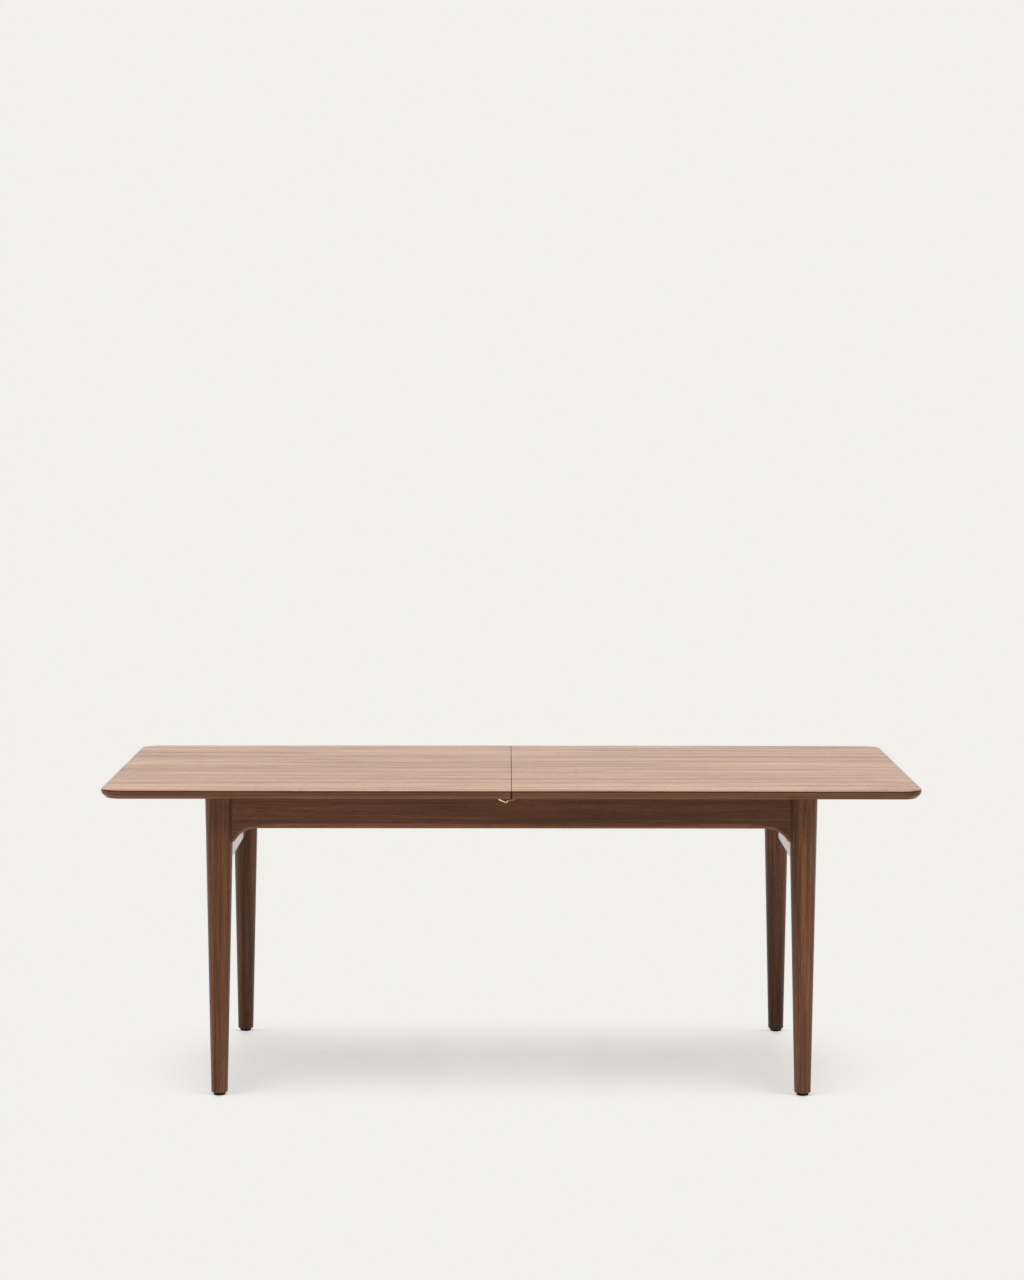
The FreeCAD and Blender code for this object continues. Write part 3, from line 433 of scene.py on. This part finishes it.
def mouldedNylon():
    material, tree, place = newMaterial("moulded_nylon")
    grain = addNode(tree, "ShaderNodeTexNoise", {"Scale": 1000 / nylon["grainMm"], "Detail": 2},
                    {"Vector": place})
    spot = addNode(tree, "ShaderNodeSeparateXYZ", {}, {0: place})
    worn = addNode(tree, "ShaderNodeMapRange", {
        "From Min": 0, "From Max": nylon["wornTo"], "To Min": 1, "To Max": 0}, {"Value": spot.outputs["Z"]})
    mottled = addNode(tree, "ShaderNodeMath", {}, {0: worn.outputs[0], 1: grain.outputs["Fac"]},
                      operation="MULTIPLY")
    ramp = addNode(tree, "ShaderNodeValToRGB", {}, {"Fac": mottled.outputs[0]})
    fillRamp(ramp, nylon["wornStops"], (nylon["black"], nylon["worn"]))
    rough = addNode(tree, "ShaderNodeMapRange", {"To Min": nylon["rough"][0], "To Max": nylon["rough"][1]},
                    {"Value": grain.outputs["Fac"]})
    pits = addNode(tree, "ShaderNodeBump", {
        "Strength": nylon["grainBump"], "Distance": nylon["grainDepthMm"] / 1000},
        {"Height": grain.outputs["Fac"]})
    moulded = addNode(tree, "ShaderNodeBsdfPrincipled", {
        "IOR": nylon["ior"], "Specular IOR Level": nylon["shine"]}, {
        "Base Color": ramp.outputs["Color"], "Roughness": rough.outputs[0], "Normal": pits.outputs[0]})
    addNode(tree, "ShaderNodeOutputMaterial", {}, {"Surface": moulded.outputs[0]})
    return material


dress(mouldedNylon(), nodesStarting("foot_glide"))
print("foot glides in nylon")


# low friction polyethylene strip, skived: milky white with faint lines along it
slipStrip = {
    "milky": "#E4E1D8", "clear": "#D3CFC4", "lineMm": (90, 0.9), "lineStops": (0.35, 0.65),
    "rough": (0.34, 0.46), "ior": 1.51,
}


def skivedStrip():
    material, tree, place = newMaterial("skived_polyethylene")
    lines = drawnOut(tree, place, "X", slipStrip["lineMm"], 2).outputs["Fac"]
    ramp = addNode(tree, "ShaderNodeValToRGB", {}, {"Fac": lines})
    fillRamp(ramp, slipStrip["lineStops"], (slipStrip["clear"], slipStrip["milky"]))
    rough = addNode(tree, "ShaderNodeMapRange", {
        "To Min": slipStrip["rough"][0], "To Max": slipStrip["rough"][1]}, {"Value": lines})
    strip = addNode(tree, "ShaderNodeBsdfPrincipled", {"IOR": slipStrip["ior"]}, {
        "Base Color": ramp.outputs["Color"], "Roughness": rough.outputs[0]})
    addNode(tree, "ShaderNodeOutputMaterial", {}, {"Surface": strip.outputs[0]})
    return material


dress(skivedStrip(), nodesStarting("glide_strip"))
print("glide strips in polyethylene")


# the studio: a pale sweep whose floor keeps the shadow of the table, soft light all round and from above
studio = {
    "sweep": "#F1F0EC", "floorSize": 40, "floorBounce": "#BDBBB7", "around": "#FFFDFA", "aroundLevel": 0.12,
    "shadow": "#D2CCC9", "shadowFrom": 0.836, "shadowTo": 0.957, "shadowRoom": (1.4, 0.6), "shadowRays": 96,
    "reach": 0.82, "lean": 65, "rearBias": 0.036, "sideShare": 0.54,
    "lightColour": "#FFFCF7", "lightSpread": 36, "lightHeight": 3,
    "lights": {"rear_softbox": (1.1, -15), "front_softbox": (2.75, 20)},  # level, and tilt in degrees
}


def seenDirectly(tree):
    # camera, mirror and see-through rays show the pale sweep; other rays get its light
    path = addNode(tree, "ShaderNodeLightPath")
    plainOrMirror = addNode(tree, "ShaderNodeMath", {}, {
        0: path.outputs["Is Camera Ray"], 1: path.outputs["Is Glossy Ray"]}, operation="ADD")
    return addNode(tree, "ShaderNodeMath", {}, {
        0: plainOrMirror.outputs[0], 1: path.outputs["Is Transmission Ray"]}, operation="ADD",
        use_clamp=True).outputs[0]


def floorShadow(tree):
    # how open the floor is to a low sky, front to rear and side to side, gives the soft shadow
    lean = math.radians(studio["lean"])
    lit = []
    for axis, bias in (("Y", studio["rearBias"]), ("X", 0)):
        openness = []
        for side in (-1, 1):
            toward = addNode(tree, "ShaderNodeCombineXYZ", {
                axis: side * math.sin(lean), "Z": math.cos(lean)})
            sky = addNode(tree, "ShaderNodeAmbientOcclusion", {"Distance": studio["reach"]},
                          {"Normal": toward.outputs[0]}, samples=studio["shadowRays"])
            openness.append(sky.outputs["AO"])
        weaker = addNode(tree, "ShaderNodeMath", {1: bias}, {0: openness[1]}, operation="SUBTRACT")
        lit.append(addNode(tree, "ShaderNodeMath", {}, {0: openness[0], 1: weaker.outputs[0]},
                           operation="MAXIMUM").outputs[0])
    allRound = addNode(tree, "ShaderNodeMix", {0: studio["sideShare"]}, {2: lit[0], 3: lit[1]},
                       data_type="FLOAT")
    tone = addNode(tree, "ShaderNodeValToRGB", {}, {"Fac": allRound.outputs[0]})
    tone.color_ramp.interpolation = "EASE"
    fillRamp(tone, (studio["shadowFrom"], studio["shadowTo"]), (studio["shadow"], studio["sweep"]))
    return addNode(tree, "ShaderNodeEmission", {"Strength": 1}, {"Color": tone.outputs["Color"]}).outputs[0]


def nearTable(tree, place):
    # the shadow is worked out near the table only, and only where the camera looks straight at the floor
    spot = addNode(tree, "ShaderNodeSeparateXYZ", {}, {0: place})
    near = addNode(tree, "ShaderNodeLightPath").outputs["Is Camera Ray"]
    for axis, limit in zip("XY", studio["shadowRoom"]):
        within = addNode(tree, "ShaderNodeMath", {1: 0, 2: limit}, {0: spot.outputs[axis]},
                         operation="COMPARE")
        near = addNode(tree, "ShaderNodeMath", {}, {0: near, 1: within.outputs[0]},
                       operation="MULTIPLY").outputs[0]
    return near


def layFloor():
    bpy.ops.object.select_all(action="DESELECT")
    bpy.ops.mesh.primitive_plane_add(size=studio["floorSize"], location=(0, 0, 0))
    floor = bpy.context.object
    floor.name = "studio_floor"
    material, tree, place = newMaterial("pale_sweep")
    plain = addNode(tree, "ShaderNodeEmission", {"Color": linearColour(studio["sweep"]), "Strength": 1})
    shown = addNode(tree, "ShaderNodeMixShader", {}, {
        0: nearTable(tree, place), 1: plain.outputs[0], 2: floorShadow(tree)})
    bounce = addNode(tree, "ShaderNodeBsdfDiffuse", {"Color": linearColour(studio["floorBounce"])})
    upper = addNode(tree, "ShaderNodeMixShader", {}, {
        0: seenDirectly(tree), 1: bounce.outputs[0], 2: shown.outputs[0]})
    under = addNode(tree, "ShaderNodeBsdfTransparent")  # the floor is open from below
    side = addNode(tree, "ShaderNodeNewGeometry")
    both = addNode(tree, "ShaderNodeMixShader", {}, {
        0: side.outputs["Backfacing"], 1: upper.outputs[0], 2: under.outputs[0]})
    addNode(tree, "ShaderNodeOutputMaterial", {}, {"Surface": both.outputs[0]})
    material.cycles.emission_sampling = "NONE"
    floor.data.materials.append(material)


def lightStudio():
    world = bpy.data.worlds.new("soft_studio")
    world.use_nodes = True
    tree = world.node_tree
    tree.nodes.clear()
    light = addNode(tree, "ShaderNodeBackground", {
        "Color": linearColour(studio["around"]), "Strength": studio["aroundLevel"]})
    sweep = addNode(tree, "ShaderNodeBackground", {"Color": linearColour(studio["sweep"]), "Strength": 1})
    both = addNode(tree, "ShaderNodeMixShader", {}, {
        0: seenDirectly(tree), 1: light.outputs[0], 2: sweep.outputs[0]})
    addNode(tree, "ShaderNodeOutputWorld", {}, {"Surface": both.outputs[0]})
    bpy.context.scene.world = world
    for name, (level, tilt) in studio["lights"].items():
        bpy.ops.object.light_add(type="SUN", location=(0, 0, studio["lightHeight"]),
                                 rotation=(math.radians(tilt), 0, 0))
        softbox = bpy.context.object
        softbox.name = name
        softbox.data.energy = level
        softbox.data.angle = math.radians(studio["lightSpread"])
        softbox.data.color = linearColour(studio["lightColour"])[:3]


layFloor()
lightStudio()
print("floor laid and lights up")


# a long lens at eye height, nearly level, with the frame shifted down to take in the table
viewpoint = {
    "place": (-0.00903, -7.55024, 1.73564), "down": 1.0928, "turn": -0.0745, "roll": 0.0667,
    "lens": 82.65, "sensor": 36, "shift": -0.15317, "farLimit": 100,
}


def placeCamera():
    pitch, roll, turn = 90 - viewpoint["down"], -viewpoint["roll"], viewpoint["turn"]
    bpy.ops.object.camera_add(location=viewpoint["place"], rotation=[
        math.radians(angle) for angle in (pitch, roll, turn)])
    camera = bpy.context.object
    camera.name = "photo_camera"
    camera.data.sensor_width = viewpoint["sensor"]
    camera.data.lens = viewpoint["lens"]
    camera.data.shift_y = viewpoint["shift"]
    camera.data.clip_end = viewpoint["farLimit"]
    bpy.context.scene.camera = camera


placeCamera()
bpy.context.scene.view_settings.view_transform = "Standard"
print("camera placed")
